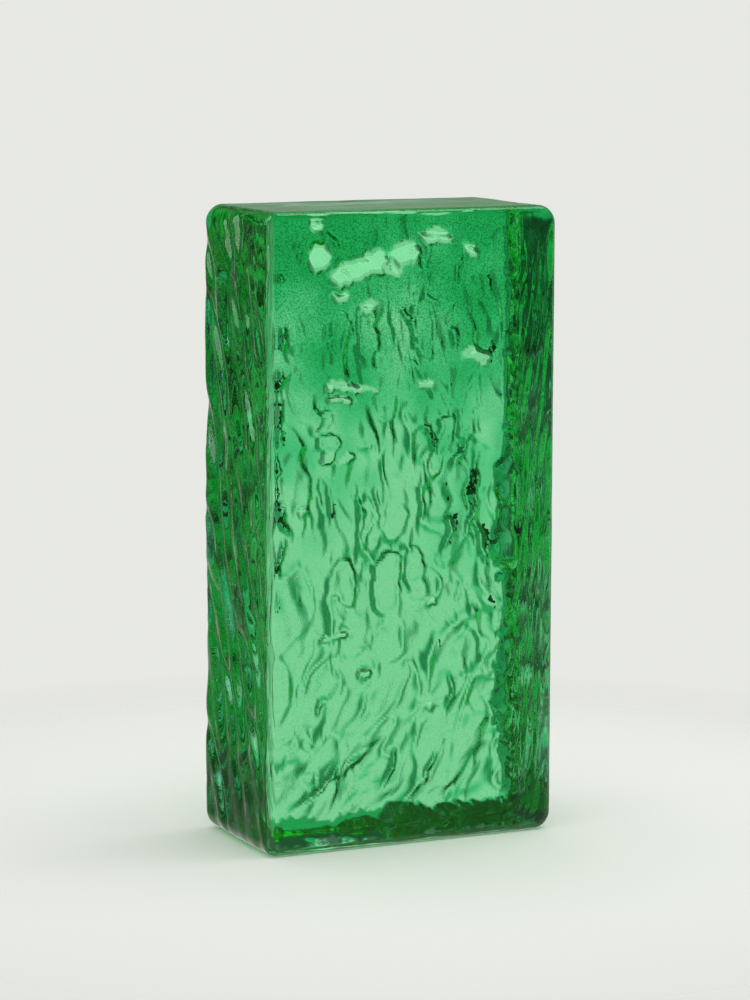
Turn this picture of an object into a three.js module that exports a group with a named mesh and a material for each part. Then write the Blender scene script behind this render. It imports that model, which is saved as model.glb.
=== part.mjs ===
// Solid glass block: one pour of transparent green glass, cast in an open mould and left to set.
//
// The face that lay open to the air (-Y) was fire-polished, so it is flat and smooth, with a small
// even round all along its edge. Every other side set against the cold mould. There the glass chilled
// into folds: shallow creases that run the way the glass flowed, with rounded lobes between them.
// The glass was too stiff to fill the mould's edges at the foot and at the right of the back, so it
// stopped short there in a ragged shore. The end that the block stands on is ground flat.
//
// Millimetres. +Z is up the block, +X across it, and the polished face looks along -Y.
// The origin is in the middle of the foot.

import * as THREE from "three";
import { mergeVertices } from "three/addons/utils/BufferGeometryUtils.js";

// The brick format.
const HEIGHT = 240;
const WIDTH = 120;
const DEPTH = 60;

// Edges. The four edges that run from the polished face to the back are the mould's corners.
const CORNER_RADIUS = 7;
const LEFT_FRONT_CORNER_RADIUS = 4.5;
const POLISHED_EDGE_RADIUS = 3;
const BACK_EDGE_RADIUS = 4;

// Folds on the back: large ones, lying the way the glass ran down and then across the mould's foot.
const BACK_FOLDS = { count: 46, length: 17, width: 4.6, depth: 0.7, bend: 0.014 };
const FLOW_AT_FOOT = 48;
const FLOW_IN_MIDDLE = 90;
const FLOW_AT_TOP = 150;
const FLOW_SPREAD = 70;

// Lobes on the back: two sizes, on a gentle swell. Near the foot the flow came in aslant, so the
// lobes drift sideways by DRIFT from the foot up to DRIFT_TOP. Above it they stand upright on the
// left and lean the other way on the right, by LEAN_BACK for each millimetre up.
const SMALL_LOBES = { across: 9, up: 22, height: 0.75, sharpness: 0.16 };
const LARGE_LOBES = { across: 15, up: 38, height: 0.85, sharpness: 0.1 };
const BACK_SWELL = { across: 18, up: 22, height: 1.2 };
const DRIFT = 27.4;
const DRIFT_TOP = 70;
const LEAN_BACK = 0.2;
const BACK_LEVEL = -1;

// Folds on the two long sides: slimmer, nearly upright, leaning back from the polished face.
const SIDE_FOLDS = { count: 40, length: 16, width: 3.4, depth: 1.2, bend: 0.012 };
const SIDE_LEAN = 72;
const SIDE_SPREAD = 26;
const SIDE_LOBES = { across: 9, up: 24, height: 0.25, sharpness: 0.3 };
const SIDE_SWELL = { across: 9, up: 16, height: 0.5 };

// Folds on the top end: a few long low ones across the width.
const TOP_FOLDS = { count: 9, length: 24, width: 4.2, depth: 0.4, bend: 0.003 };
const TOP_LEAN = 4;
const TOP_SPREAD = 24;

// The long sides also swing in and out slowly along their height.
const SWING = 0.35;
const SWING_PERIOD = 88;
const SWING_CREST = 26;

// The shores: [place along the edge, how far from the edge the glass stopped]. From its shore to the
// edge the back falls away at 45 degrees, and the foot and the side grow shorter with it.
const FOOT_SHORE = [
  [-60, 2], [-46, 3], [-40, 2], [-33, 0.5], [-20, 0.5], [-12, 1.5], [-3, 4.5], [3, 2],
  [8, 8], [16, 8.5], [24, 4.5], [27, 3], [31, 7], [39, 4.5], [47, 5.5], [60, 5],
];
const SIDE_SHORE = [
  [0, 1], [20, 2], [30, 4], [36, 6.5], [42, 8.5], [50, 7], [60, 6], [68, 4.5], [84, 3],
  [96, 4.5], [101, 8.5], [106, 8], [112, 7], [123, 7.5], [134, 8.5], [139, 5.5], [150, 3],
  [170, 3.5], [186, 3.5], [192, 1], [206, 1], [212, 3.5], [240, 3],
];
const SHORE_DROP = 8;
const SHORE_JAG = 2.4;
const SHORE_START = 2;

// No fold reaches the polished edge: they die out over this depth behind it.
const CALM_DEPTH = 9;

// How finely the skin is divided.
const STEP_ACROSS = 3.6;
const STEP_UP = 4.2;
const STEP_DEEP = 3.8;
const CORNER_STEPS = 3;
const EDGE_STEPS = 3;

const QUARTER = Math.PI / 2;
const radians = THREE.MathUtils.degToRad;
const { clamp, lerp, smoothstep } = THREE.MathUtils;

// ---- Folds ----

// Four steps of irrational length: counting along them scatters the folds evenly, with no pattern.
const SCATTER_STEPS = [0.8566748839, 0.733891856627, 0.628706721048, 0.538597257182];
const scatter = (i, k) => (0.5 + i * SCATTER_STEPS[k]) % 1;

// A set of folds over a rectangle from (u0, v0) to (u1, v1). lean(u, v) is the flow's direction there,
// in degrees from the u axis, and each fold turns away from it by up to half the spread.
function makeFolds(size, [u0, v0, u1, v1], lean, spread, start) {
  const folds = [];
  for (let n = start; n < start + size.count; n++) {
    const u = lerp(u0, u1, scatter(n, 0));
    const v = lerp(v0, v1, scatter(n, 1));
    const turn = scatter(n, 2) - 0.5;
    const share = scatter(n, 3);
    folds.push({
      u,
      v,
      angle: radians(lean(u, v) + spread * turn),
      length: size.length * (0.6 + 0.8 * share),
      width: size.width * (0.75 + 0.5 * scatter(n, 2)),
      depth: size.depth * (0.5 + share),
      bend: size.bend * 2 * turn,
    });
  }
  return folds;
}

// How far the surface lies above (+) or below (-) its plane at (u, v): each fold is a bent groove
// with a low bulge along both of its banks.
function relief(folds, u, v) {
  let height = 0;
  for (const f of folds) {
    const along = (u - f.u) * Math.cos(f.angle) + (v - f.v) * Math.sin(f.angle);
    const straight = (v - f.v) * Math.cos(f.angle) - (u - f.u) * Math.sin(f.angle);
    const across = (straight - f.bend * along * along) / f.width;
    const reach = along / f.length;
    const groove = (1 - 0.6 * across * across) * Math.exp(-across * across);
    height -= f.depth * groove * Math.exp(-reach * reach);
  }
  return height;
}

function backLean(x, z) {
  const low = lerp(FLOW_AT_FOOT, FLOW_IN_MIDDLE, smoothstep(z, 0.15 * HEIGHT, 0.42 * HEIGHT));
  return lerp(low, FLOW_AT_TOP, smoothstep(z, 0.75 * HEIGHT, 0.95 * HEIGHT));
}

const backArea = [-WIDTH / 2, 0, WIDTH / 2, HEIGHT];
const sideArea = [-DEPTH / 2, 0, DEPTH / 2, HEIGHT];
const topArea = [-WIDTH / 2, -DEPTH / 2, WIDTH / 2, DEPTH / 2];

const backFolds = makeFolds(BACK_FOLDS, backArea, backLean, FLOW_SPREAD, 1);
const leftFolds = makeFolds(SIDE_FOLDS, sideArea, () => SIDE_LEAN, SIDE_SPREAD, 101);
const rightFolds = makeFolds(SIDE_FOLDS, sideArea, () => 180 - SIDE_LEAN, SIDE_SPREAD, 201);
const topFolds = makeFolds(TOP_FOLDS, topArea, () => TOP_LEAN, TOP_SPREAD, 301);

// ---- Lobes ----

// A smooth field with no plan and no repeat, between about -1 and 1. Every corner of a lattice of
// unit cells has a slope of its own, and each cell blends the slopes of its eight corners. A corner
// picks its slope by stirring its whole numbers together with large odd ones, so the field is the
// same every time. Each kind of field stirs in a number of its own.
const SLOPES = [
  [1, 1, 0], [-1, 1, 0], [1, -1, 0], [-1, -1, 0], [1, 0, 1], [-1, 0, 1],
  [1, 0, -1], [-1, 0, -1], [0, 1, 1], [0, -1, 1], [0, 1, -1], [0, -1, -1],
];
const STIR = [374761393, 668265263, 2246822519, 3266489917];

function cornerSlope(i, j, k, kind) {
  let n = Math.imul(i, STIR[0]) + Math.imul(j, STIR[1]) + Math.imul(k, STIR[2]);
  n = (n + Math.imul(kind, STIR[3])) | 0;
  n = Math.imul(n ^ (n >>> 15), STIR[2]);
  n = Math.imul(n ^ (n >>> 13), STIR[3]);
  return SLOPES[((n ^ (n >>> 16)) >>> 0) % SLOPES.length];
}

const blend = (t) => t * t * t * (t * (t * 6 - 15) + 10);

function swell(x, y, z, kind) {
  const [i, j, k] = [Math.floor(x), Math.floor(y), Math.floor(z)];
  let total = 0;
  for (const a of [0, 1]) {
    for (const b of [0, 1]) {
      for (const c of [0, 1]) {
        const slope = cornerSlope(i + a, j + b, k + c, kind);
        const [dx, dy, dz] = [x - i - a, y - j - b, z - k - c];
        const share = blend(1 - Math.abs(dx)) * blend(1 - Math.abs(dy)) * blend(1 - Math.abs(dz));
        total += share * (slope[0] * dx + slope[1] * dy + slope[2] * dz);
      }
    }
  }
  return total;
}

// Lobes lie side by side with a crease between them wherever the swell passes through zero.
const lobe = (swelling, sharpness) => 1 - Math.exp(-Math.abs(swelling) / sharpness);

// The lobes of the back. The flow bends the lattice first, and each small lobe leans over its crease.
function backLobes(x, y, z) {
  const drift = DRIFT * (1 - Math.max(1 - z / DRIFT_TOP, 0) ** 1.5);
  const u = x - drift + LEAN_BACK * smoothstep(x, -15, 25) * clamp(z - 85, 0, 100);
  const bentX = u + 9 * swell(u / 22, y / 22, z / 26, 1) + 2.4 * swell(u / 8, y / 8, z / 9, 2);
  const bentY = y + 4 * swell(u / 20, y / 20, z / 26, 3);
  const bentZ = z + 14 * swell(u / 22, y / 22, z / 24, 4) + 3.5 * swell(u / 8, y / 8, z / 9, 5);
  const field = (form, kind, lean = 0) =>
    swell((bentX + lean) / form.across, bentY / form.across, bentZ / form.up, kind);

  const flatter = lerp(0.3, 1, smoothstep(x, -46, -30)) * lerp(1, 0.5, smoothstep(z, 150, 200));
  const base = BACK_SWELL.height * flatter * field(BACK_SWELL, 6);
  const strength = lerp(0.5, 1, smoothstep(swell(u / 14, y / 14, z / 18, 10), -0.25, 0.25));
  const lean = 2 * lobe(field(SMALL_LOBES, 7), SMALL_LOBES.sharpness);
  const small = SMALL_LOBES.height * lobe(field(SMALL_LOBES, 7, lean), SMALL_LOBES.sharpness);
  const large = LARGE_LOBES.height * lobe(field(LARGE_LOBES, 12), LARGE_LOBES.sharpness);
  const calmTop = lerp(1, 0.3, smoothstep(z, 190, 216));
  const calmLeft = lerp(0.45, 1, smoothstep(x, -44, -22));
  const calmFoot = lerp(0.5, 1, smoothstep(z, 4, 14));
  return base + strength * calmTop * calmLeft * calmFoot * (small + large);
}

// ---- Shores ----

function shoreAt(line, place) {
  const next = line.findIndex(([at]) => at > place);
  if (next === 0) return line[0][1];
  if (next < 0) return line.at(-1)[1];
  const [at0, value0] = line[next - 1];
  const [at1, value1] = line[next];
  return lerp(value0, value1, (place - at0) / (at1 - at0));
}

// How far the skin is pushed forward where the glass stopped short of the mould.
function shortfall({ x, y, z }) {
  const jag = SHORE_JAG * swell(x / 5, y / 5, z / 5, 21);
  const pastFoot = shoreAt(FOOT_SHORE, x) + jag - z;
  const pastSide = shoreAt(SIDE_SHORE, z) + 1.4 * jag - (WIDTH / 2 - x);
  const drop = clamp(Math.max(pastFoot, pastSide), 0, SHORE_DROP);
  return drop * smoothstep(y, SHORE_START, DEPTH / 2 - BACK_EDGE_RADIUS);
}

// ---- Skin of each side ----

function backRelief(x, y, z) {
  return relief(backFolds, x, z) + backLobes(x, y, z) + BACK_LEVEL;
}

function sideRelief(x, y, z) {
  const folds = x < 0 ? leftFolds : rightFolds;
  const swing = SWING * Math.cos((2 * Math.PI * (z - SWING_CREST)) / SWING_PERIOD);
  const side = Math.sign(x);
  const upright = y + side * z * Math.tan(radians(90 - SIDE_LEAN));
  const wide = (kind) => swell(upright / 15, 3.4 * side, z / 22, kind);
  const bentY = upright + 5 * wide(31) + 1.2 * swell(upright / 5, 3.4 * side, z / 9, 34);
  const bentZ = z + 9 * wide(35);
  const field = (form, kind) => swell(bentY / form.across, 3.4 * side, bentZ / form.up, kind);
  const lobes = SIDE_LOBES.height * lobe(field(SIDE_LOBES, 32), SIDE_LOBES.sharpness);
  return relief(folds, y, z) + swing + lobes + SIDE_SWELL.height * field(SIDE_SWELL, 33);
}

// Sets a point of the plain block on the chilled skin. Each side's relief counts by how squarely the
// normal faces that side, so folds run on round an edge, and the polished face and the foot stay flat.
function chill(point, normal) {
  const fade = smoothstep(point.y, -DEPTH / 2, -DEPTH / 2 + CALM_DEPTH);
  const back = Math.max(normal.y, 0) ** 2;
  const side = normal.x ** 2;
  const top = Math.max(normal.z, 0) ** 2;
  let height = 0;
  if (back > 0) height += back * backRelief(point.x, point.y, point.z);
  if (side > 0) height += side * sideRelief(point.x, point.y, point.z);
  if (top > 0) height += top * relief(topFolds, point.x, point.y);
  const chilled = point.clone().addScaledVector(normal, fade * height);
  chilled.y -= shortfall(point);
  return chilled;
}

// ---- Plain block ----

// Lines of vertices along one direction: even steps between the corners, and round each corner the
// places that divide its arc evenly.
function stations(low, high, step) {
  const cornerPlaces = [];
  for (let k = CORNER_STEPS; k > 0; k--) {
    cornerPlaces.push(CORNER_RADIUS * (1 - Math.tan((k * QUARTER) / 2 / CORNER_STEPS)));
  }
  const span = high - low - 2 * CORNER_RADIUS;
  const count = Math.round(span / step);
  const middle = [];
  for (let k = 0; k <= count; k++) middle.push(low + CORNER_RADIUS + (span * k) / count);
  const start = cornerPlaces.map((place) => low + place);
  const end = cornerPlaces.map((place) => high - place).reverse();
  return [...start, ...middle, ...end];
}

const across = stations(-WIDTH / 2, WIDTH / 2, STEP_ACROSS);
const up = stations(0, HEIGHT, STEP_UP);

// The left corners are tighter at the polished face and open to the full radius at the back.
function cornerRadius(x, y) {
  const depthShare = (y + DEPTH / 2) / DEPTH;
  return x < 0 ? lerp(LEFT_FRONT_CORNER_RADIUS, CORNER_RADIUS, depthShare) : CORNER_RADIUS;
}

// Moves a point of the square-cornered front view into the round-cornered one, drawn in by inset
// all round. Also gives the outward normal, which only a point of the outline needs.
function intoOutline(x, z, y, inset) {
  const radius = cornerRadius(x, y);
  const core = new THREE.Vector2(
    clamp(x, radius - WIDTH / 2, WIDTH / 2 - radius),
    clamp(z, radius, HEIGHT - radius),
  );
  const out = new THREE.Vector2(x, z).sub(core);
  const squareDistance = Math.max(Math.abs(out.x), Math.abs(out.y));
  out.normalize();
  const distance = (squareDistance * (radius - inset)) / radius;
  return { place: core.addScaledVector(out, distance), out };
}

// The wall's section, from the polished face round its edge, back along the side and round the back
// edge: how far it is drawn in, its depth and the tilt of its normal from the side towards +Y.
function wallProfile() {
  const profile = [];
  for (let k = 0; k <= EDGE_STEPS; k++) {
    const tilt = -QUARTER * (1 - k / EDGE_STEPS);
    const inset = POLISHED_EDGE_RADIUS * (1 - Math.cos(tilt));
    const y = -DEPTH / 2 + POLISHED_EDGE_RADIUS * (1 + Math.sin(tilt));
    profile.push({ inset, y, tilt });
  }
  const straight = DEPTH - POLISHED_EDGE_RADIUS - BACK_EDGE_RADIUS;
  const count = Math.round(straight / STEP_DEEP);
  for (let k = 1; k < count; k++) {
    const y = -DEPTH / 2 + POLISHED_EDGE_RADIUS + (straight * k) / count;
    profile.push({ inset: 0, y, tilt: 0 });
  }
  for (let k = 0; k <= EDGE_STEPS; k++) {
    const tilt = (QUARTER * k) / EDGE_STEPS;
    const inset = BACK_EDGE_RADIUS * (1 - Math.cos(tilt));
    const y = DEPTH / 2 - BACK_EDGE_RADIUS * (1 - Math.sin(tilt));
    profile.push({ inset, y, tilt });
  }
  return profile;
}

// The outline's places, anticlockwise as seen from the polished face.
function outlinePlaces() {
  const right = across.at(-1);
  const left = across[0];
  return [
    ...across.slice(0, -1).map((x) => [x, up[0]]),
    ...up.slice(0, -1).map((z) => [right, z]),
    ...across.slice(1).reverse().map((x) => [x, up.at(-1)]),
    ...up.slice(1).reverse().map((z) => [left, z]),
  ];
}

function wallPoint([x, z], { inset, y, tilt }) {
  const { place, out } = intoOutline(x, z, y, inset);
  const point = new THREE.Vector3(place.x, y, place.y);
  const side = new THREE.Vector3(out.x, 0, out.y).multiplyScalar(Math.cos(tilt));
  const normal = side.add(new THREE.Vector3(0, Math.sin(tilt), 0));
  return chill(point, normal);
}

function backPoint(x, z) {
  const { place } = intoOutline(x, z, DEPTH / 2, BACK_EDGE_RADIUS);
  return chill(new THREE.Vector3(place.x, DEPTH / 2, place.y), new THREE.Vector3(0, 1, 0));
}

// ---- Skin ----

const corners = [];

function addQuad(a, b, c, d) {
  corners.push(a, b, c, a, c, d);
}

function addWall() {
  const profile = wallProfile();
  const rings = profile.map((level) => outlinePlaces().map((place) => wallPoint(place, level)));
  for (let level = 1; level < rings.length; level++) {
    const front = rings[level - 1];
    const behind = rings[level];
    front.forEach((point, k) => {
      const next = (k + 1) % front.length;
      addQuad(point, behind[k], behind[next], front[next]);
    });
  }
  return rings[0];
}

function addBack() {
  for (let i = 1; i < across.length; i++) {
    for (let k = 1; k < up.length; k++) {
      addQuad(
        backPoint(across[i], up[k - 1]),
        backPoint(across[i - 1], up[k - 1]),
        backPoint(across[i - 1], up[k]),
        backPoint(across[i], up[k]),
      );
    }
  }
}

// The polished face is a plane inside its rounded edge, so its rim alone fills it.
function addPolishedFace(rim) {
  const flat = rim.map((point) => new THREE.Vector2(point.x, point.z));
  for (const triangle of THREE.ShapeUtils.triangulateShape(flat, [])) {
    corners.push(...triangle.map((k) => rim[k]));
  }
}

addPolishedFace(addWall());
addBack();

// The folds move the bounding box a little, so the skin is centred and set on its foot again.
const skin = new THREE.BufferGeometry().setFromPoints(corners);
skin.computeBoundingBox();
const centre = skin.boundingBox.getCenter(new THREE.Vector3());
skin.translate(-centre.x, -centre.y, -skin.boundingBox.min.z);
const geometry = mergeVertices(skin, 1e-3);
geometry.computeVertexNormals();

const glass = new THREE.MeshStandardMaterial({
  name: "green_glass",
  color: new THREE.Color(0.02, 0.42, 0.12),
  roughness: 0.05,
  metalness: 0,
  transparent: true,
  opacity: 0.6,
});

const block = new THREE.Mesh(geometry, glass);
block.name = "glass_block";

const group = new THREE.Group();
group.name = "solid_glass_block";
group.add(block);

export default group;
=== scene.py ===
# %% [markdown]
# # A cast green glass block
#
# The block is one solid piece of clear green glass, poured into an open metal mould. The face that
# lay open to the air was fire-polished, so it is flat and glossy. Its other sides set against the
# cold mould, where the skin of the glass chilled and wrinkled into folds.
#
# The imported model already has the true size, the rounded edges, the waves, the lobes and side folds,
# and the ragged edges. This lesson builds the same skin again, several times finer, because clear
# glass shows every small slope of its far side. It adds the detail that is too small for the packed
# model, gives the block its glass, and lights it in a small studio.

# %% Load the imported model
import math

import bmesh
import bpy
import numpy as np
from mathutils import Matrix, Vector


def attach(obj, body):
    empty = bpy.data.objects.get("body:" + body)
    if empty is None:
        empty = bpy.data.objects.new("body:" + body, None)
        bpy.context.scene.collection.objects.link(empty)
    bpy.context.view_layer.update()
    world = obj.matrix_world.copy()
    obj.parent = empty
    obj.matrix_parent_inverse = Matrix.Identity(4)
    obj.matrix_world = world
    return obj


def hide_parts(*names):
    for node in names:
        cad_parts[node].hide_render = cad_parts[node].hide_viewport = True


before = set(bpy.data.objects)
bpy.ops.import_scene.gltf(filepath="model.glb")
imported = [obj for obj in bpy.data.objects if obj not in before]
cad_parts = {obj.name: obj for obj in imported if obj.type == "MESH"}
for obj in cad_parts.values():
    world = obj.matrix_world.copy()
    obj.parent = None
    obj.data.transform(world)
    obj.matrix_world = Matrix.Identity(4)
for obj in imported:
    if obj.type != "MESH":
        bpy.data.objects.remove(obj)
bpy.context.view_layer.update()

# %% [markdown]
# ## The camera
#
# The camera comes first, so that every later step can be judged from the same place. It stands a
# little above the block and to the left of its polished face. The lens is long, which keeps the
# upright edges of the block nearly parallel.

# %% Camera
LENS = 135.0
CAMERA_DISTANCE = 1.4285
CAMERA_TURN = math.radians(-25.856)
CAMERA_RISE = math.radians(8.129)
CAMERA_ROLL = math.radians(0.192)
LOOK_AT = Vector((-0.00117, 0.0, 0.12741))

towards_camera = Vector((
    math.sin(CAMERA_TURN) * math.cos(CAMERA_RISE),
    -math.cos(CAMERA_TURN) * math.cos(CAMERA_RISE),
    math.sin(CAMERA_RISE),
))
lens = bpy.data.cameras.new("camera")
lens.lens = LENS
lens.clip_end = 50.0
camera = bpy.data.objects.new("camera", lens)
facing = towards_camera.to_track_quat("Z", "Y").to_matrix().to_4x4()
camera.matrix_world = (
    Matrix.Translation(LOOK_AT + towards_camera * CAMERA_DISTANCE)
    @ facing @ Matrix.Rotation(CAMERA_ROLL, 4, "Z"))
bpy.context.collection.objects.link(camera)
bpy.context.scene.camera = camera
print("camera at", [round(value, 3) for value in camera.matrix_world.translation])

# %% [markdown]
# ## Sizes
#
# A mould is drawn in millimetres, so the shape is worked out in millimetres too. It turns into
# metres in one place only, where the mesh is made. X runs across the width, Y from the polished
# face to the rippled back, and Z up the height.

# %% Block sizes
WIDTH, DEPTH, HEIGHT = 120.0, 60.0, 240.0
CORNER_RADIUS = 7.0
LEFT_FRONT_CORNER_RADIUS = 4.5
POLISHED_EDGE_RADIUS = 3.0
BACK_EDGE_RADIUS = 4.0
CALM_DEPTH = 9.0


def mix(low, high, share):
    return low + (high - low) * share


def ease(value, start, end):
    share = np.clip((value - start) / (end - start), 0.0, 1.0)
    return share * share * (3.0 - 2.0 * share)


print("block:", WIDTH, "x", DEPTH, "x", HEIGHT, "mm before the folds")

# %% [markdown]
# ## The main waves
#
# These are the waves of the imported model: the same rule and the same places. Each wave is a soft
# groove with a low bank on either side. Their places are scattered by steps of irrational numbers,
# which never line up in rows and come out the same in every run.

# %% Scattered waves
SCATTER_STEPS = (0.8566748839, 0.733891856627, 0.628706721048, 0.538597257182)
SIDE_WAVE_LEAN = 72.0


def scatter(n, k):
    return (0.5 + n * SCATTER_STEPS[k]) % 1.0


def scatter_waves(count, size, area, lean, spread, start):
    length, width, depth, bend = size
    waves = []
    for n in range(start, start + count):
        u = mix(area[0], area[2], scatter(n, 0))
        v = mix(area[1], area[3], scatter(n, 1))
        turn, share = scatter(n, 2) - 0.5, scatter(n, 3)
        waves.append((
            u, v, lean(u, v) + spread * turn, length * (0.6 + 0.8 * share),
            width * (0.75 + 0.5 * scatter(n, 2)), depth * (0.5 + share), bend * 2.0 * turn))
    return waves


def press(waves, u, v):
    height = np.zeros_like(u)
    for at_u, at_v, lean, length, width, depth, bend in waves:
        cos, sin = math.cos(math.radians(lean)), math.sin(math.radians(lean))
        along = (u - at_u) * cos + (v - at_v) * sin
        across = (v - at_v) * cos - (u - at_u) * sin
        across = (across - bend * along ** 2) / width
        groove = (1.0 - 0.6 * across ** 2) * np.exp(-across ** 2)
        height -= depth * groove * np.exp(-(along / length) ** 2)
    return height


print("first scattered place:", round(scatter(1, 0), 3), round(scatter(1, 1), 3))


# %% Leans of the waves
def back_lean(x, z):
    lean = mix(48.0, 90.0, ease(z, 0.15 * HEIGHT, 0.42 * HEIGHT))
    return mix(lean, 150.0, ease(z, 0.75 * HEIGHT, 0.95 * HEIGHT))


BACK_AREA = (-WIDTH / 2, 0.0, WIDTH / 2, HEIGHT)
SIDE_AREA = (-DEPTH / 2, 0.0, DEPTH / 2, HEIGHT)
TOP_AREA = (-WIDTH / 2, -DEPTH / 2, WIDTH / 2, DEPTH / 2)
back_waves = scatter_waves(46, (17, 4.6, 1.15, 0.014), BACK_AREA, back_lean, 70, 1)
left_waves = scatter_waves(40, (16, 3.4, 1.2, 0.012), SIDE_AREA, lambda u, v: SIDE_WAVE_LEAN, 26, 101)
right_waves = scatter_waves(
    40, (16, 3.4, 1.2, 0.012), SIDE_AREA, lambda u, v: 180 - SIDE_WAVE_LEAN, 26, 201)
top_waves = scatter_waves(9, (24, 4.2, 0.4, 0.003), TOP_AREA, lambda u, v: 4, 24, 301)
print("waves:", len(back_waves), "back,", len(left_waves) + len(right_waves), "sides")

# %% [markdown]
# ## Smooth random swells
#
# Real chill wrinkles have no plan, so they need a random field that is smooth and never repeats.
# This is gradient noise: every corner of a grid of cells gets a slope, and the slopes are blended
# across the cell. The slope comes from arithmetic on the corner's own whole numbers, so nothing is
# left to a random seed.

# %% Gradient noise
SLOPES = np.array([
    (1, 1, 0), (-1, 1, 0), (1, -1, 0), (-1, -1, 0), (1, 0, 1), (-1, 0, 1),
    (1, 0, -1), (-1, 0, -1), (0, 1, 1), (0, -1, 1), (0, 1, -1), (0, -1, -1)], float)


def corner_slope(i, j, k, kind):
    n = (i * 374761393 + j * 668265263 + k * 2246822519 + kind * 3266489917) & 0xFFFFFFFF
    n = ((n ^ (n >> 15)) * 2246822519) & 0xFFFFFFFF
    n = ((n ^ (n >> 13)) * 3266489917) & 0xFFFFFFFF
    return SLOPES[(n ^ (n >> 16)) % len(SLOPES)]


def swell(x, y, z, kind):
    place = np.stack(np.broadcast_arrays(x, y, z), axis=-1)
    cell = np.floor(place).astype(np.int64)
    inside = place - cell
    blend = inside ** 3 * (inside * (inside * 6 - 15) + 10)
    total = np.zeros(len(place))
    for corner in np.ndindex(2, 2, 2):
        slope = corner_slope(*(cell + corner).T, kind)
        share = np.prod(np.where(corner, blend, 1 - blend), axis=1)
        total += share * np.sum(slope * (inside - corner), axis=1)
    return total


sample = swell(np.linspace(0, 40, 400), 0.3, 0.7, 1)
print("a swell runs from", round(float(sample.min()), 2), "to", round(float(sample.max()), 2))

# %% [markdown]
# ## Wrinkles of the back
#
# The back carries the most. Rounded lobes of glass lie side by side, and narrow creases part them,
# like folds in thick honey. A crease runs wherever a swell passes through zero, so lobes and
# creases come from one field. The field is stretched along the way the glass ran: aslant near the
# foot, upright in the middle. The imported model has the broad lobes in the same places; the small
# and tiny ones are added here.

# %% Way of the flow
DRIFT = 27.4
DRIFT_TOP = 70.0


def drift(z):
    return DRIFT * (1 - np.clip(1 - z / DRIFT_TOP, 0, 1) ** 1.5)


def lobes(swelling, sharpness):
    return 1.0 - np.exp(-np.abs(swelling) / sharpness)


print("sideways drift at half height:", round(float(drift(HEIGHT / 2)), 1), "mm")


# %% Fields of lobes
def back_wrinkles(x, y, z):
    u = x - drift(z) + 0.2 * ease(x, -15, 25) * np.clip(z - 85, 0, 100)
    bent_x = u + 9.0 * swell(u / 22, y / 22, z / 26, 1) + 2.4 * swell(u / 8, y / 8, z / 9, 2)
    bent_y = y + 4.0 * swell(u / 20, y / 20, z / 26, 3)
    bent_z = z + 14.0 * swell(u / 22, y / 22, z / 24, 4) + 3.5 * swell(u / 8, y / 8, z / 9, 5)

    def field(width, height, kind, lean=0):
        return swell((bent_x + lean) / width, bent_y / width, bent_z / height, kind)

    calm = mix(1.0, 0.6, ease(z, 190, 216)) * mix(0.45, 1.0, ease(x, -44, -22))
    calm *= mix(0.5, 1.0, ease(z, 4, 14))
    base = 1.2 * mix(0.3, 1.0, ease(x, -46, -30)) * mix(1.0, 0.5, ease(z, 150, 200)) * field(18, 22, 6)
    strength = mix(0.5, 1.0, ease(swell(u / 14, y / 14, z / 18, 10), -0.25, 0.25))
    upright = lobes(field(9, 22, 7), 0.16)
    large = 0.75 * lobes(field(9, 22, 7, 2.0 * upright), 0.16)
    huge = 0.85 * lobes(field(15, 38, 12), 0.10)
    rough = ease(swell(u / 11, y / 11, z / 14, 9), -0.1, 0.3) * mix(1.0, 0.5, ease(z, 150, 195))
    small = 0.36 * rough * lobes(field(3.4, 7, 8), 0.20)
    tiny = 0.05 * (0.3 + 0.7 * rough) * lobes(field(1.7, 3, 11), 0.25)
    return base + calm * (strength * (large + huge) + small + tiny)


sample = back_wrinkles(np.linspace(-50, 50, 200), 30.0, 120.0)
print("lobes across the middle:", round(float(np.ptp(sample)), 2), "mm deep")
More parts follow.
